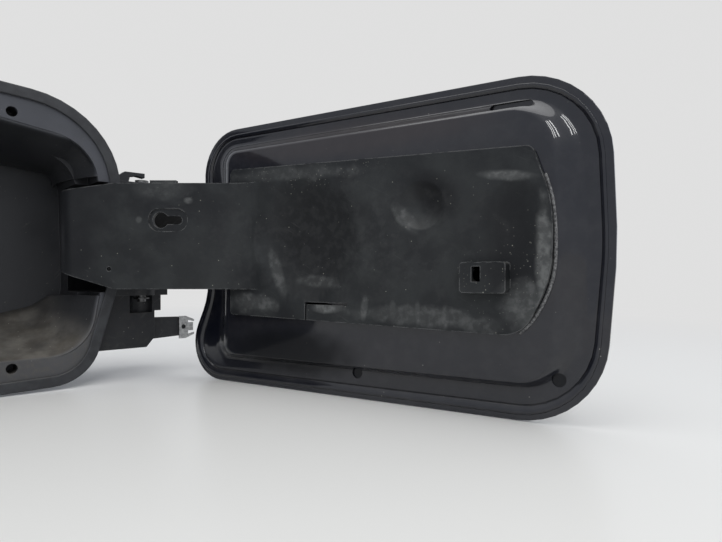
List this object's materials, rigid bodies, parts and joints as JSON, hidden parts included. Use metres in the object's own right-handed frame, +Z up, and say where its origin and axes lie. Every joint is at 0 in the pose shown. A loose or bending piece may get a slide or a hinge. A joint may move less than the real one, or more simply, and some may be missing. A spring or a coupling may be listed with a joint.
{
  "type": "fuel filler flap with housing",
  "caption": "Painted fuel filler flap on a gooseneck arm, hinged to a moulded filler pot with rim seal, neck seal and push-in lock.",
  "frame": {"origin": "centre of the four fixing holes in the pot's flange, in the rim's front plane", "axes": "+X from the far side to the hinge side, +Y into the car, +Z up, with the pot standing on the lower edge of its rim and the flap open"},
  "size_m": [0.3743, 0.3126, 0.168],
  "materials": {
    "housing_plastic": "matt, dusty",
    "arm_plastic": "satin, worn",
    "case_plastic": "matt",
    "seal_rubber": "matt",
    "dark_paint": "gloss clear coat",
    "sheet_steel": "dull zinc",
    "pin_steel": "satin",
    "spring_steel": "satin",
    "light_plastic": "satin",
    "contact_brass": "plain"
  },
  "bodies": {
    "pot": {"filler_pot": "housing_plastic", "rim_seal": "seal_rubber", "neck_seal": "seal_rubber", "hinge_pin": "pin_steel", "pin_clip": "spring_steel", "flap_spring": "spring_steel", "spring_clip": "sheet_steel", "actuator_gasket": "seal_rubber", "actuator_case": "case_plastic", "actuator_cover": "case_plastic", "actuator_screws": "pin_steel", "terminals": "contact_brass", "lock_motor": "sheet_steel", "lock_spring": "spring_steel", "lock_seal": "seal_rubber"},
    "flap": {"hinge_arm": "arm_plastic", "inner_panel": "dark_paint", "outer_skin": "dark_paint"},
    "plunger": {"lock_sleeve": "light_plastic"},
    "locking_pin": {"lock_pin": "light_plastic"}
  },
  "joints": [
    {"name": "flap_hinge", "type": "hinge", "parent": "pot", "child": "flap", "pos_m": [0.145, 0.009, 0], "axis": [0, 0, 1], "range_deg": [-107, 0]},
    {"name": "lock_slide", "type": "slide", "parent": "pot", "child": "plunger", "axis": [0, 1, 0], "range_m": [0, 0.008], "deforming": ["lock_spring"]},
    {"name": "pin_turn", "type": "hinge", "parent": "plunger", "child": "locking_pin", "pos_m": [-0.07, 0, -0.018], "axis": [0, 1, 0], "range_deg": [-90, 0]}
  ]
}
